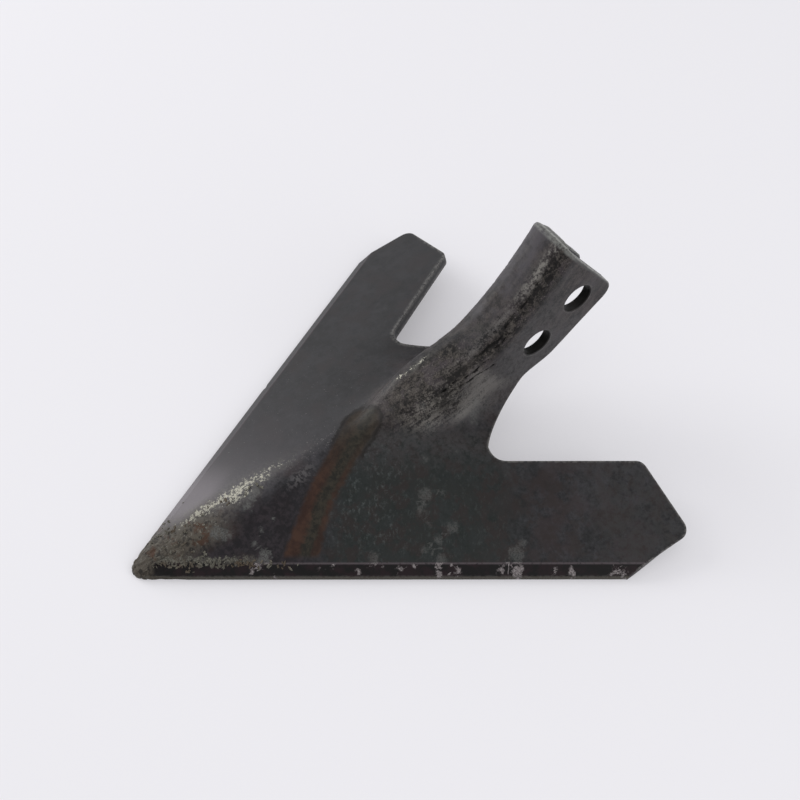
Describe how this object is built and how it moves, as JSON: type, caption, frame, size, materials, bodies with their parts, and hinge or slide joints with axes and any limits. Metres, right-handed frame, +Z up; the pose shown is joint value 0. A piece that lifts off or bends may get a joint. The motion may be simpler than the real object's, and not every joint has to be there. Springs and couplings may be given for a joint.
{
  "type": "cultivator sweep",
  "caption": "V-shaped cultivator sweep pressed from one steel plate, with bevelled swept-back wings and a channel stem drilled for cross bolts.",
  "frame": {"origin": "middle of the footprint, on the ground that the cutting edges lie on", "axes": "+X across the sweep, +Y from the nose towards the stem, +Z up"},
  "size_m": [0.2062, 0.2184, 0.0911],
  "materials": {
    "oxide_steel": "dark satin heat-treatment oxide, worn bright along the crest"
  },
  "bodies": {
    "root": {"sweep": "oxide_steel"}
  },
  "joints": []
}
